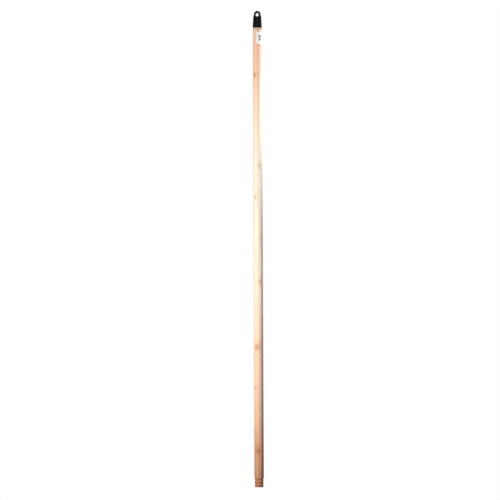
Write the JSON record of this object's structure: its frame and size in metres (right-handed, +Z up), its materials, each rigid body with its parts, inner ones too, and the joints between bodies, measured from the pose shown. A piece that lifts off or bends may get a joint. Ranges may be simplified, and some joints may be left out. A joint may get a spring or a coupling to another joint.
{
  "type": "roller extension pole",
  "caption": "Turned wooden pole with a coarse thread at its lower end for a paint roller frame or brush head, and a moulded cap with a hanging hole at its top.",
  "frame": {"origin": "centre of the threaded tip's end face, on the pole's axis", "axes": "+Z up the pole from the threaded tip to the hanging cap, Y along the hanging hole with -Y the front, and +X to the right of someone who looks along +Y"},
  "size_m": [0.0244, 0.0244, 1.219],
  "materials": {
    "pine": "planed and sanded, unvarnished",
    "black_plastic": "moulded, satin",
    "paper": "coated paper, matte"
  },
  "bodies": {
    "root": {"wood_pole": "pine", "hang_cap": "black_plastic", "paper_label": "paper"}
  },
  "joints": []
}
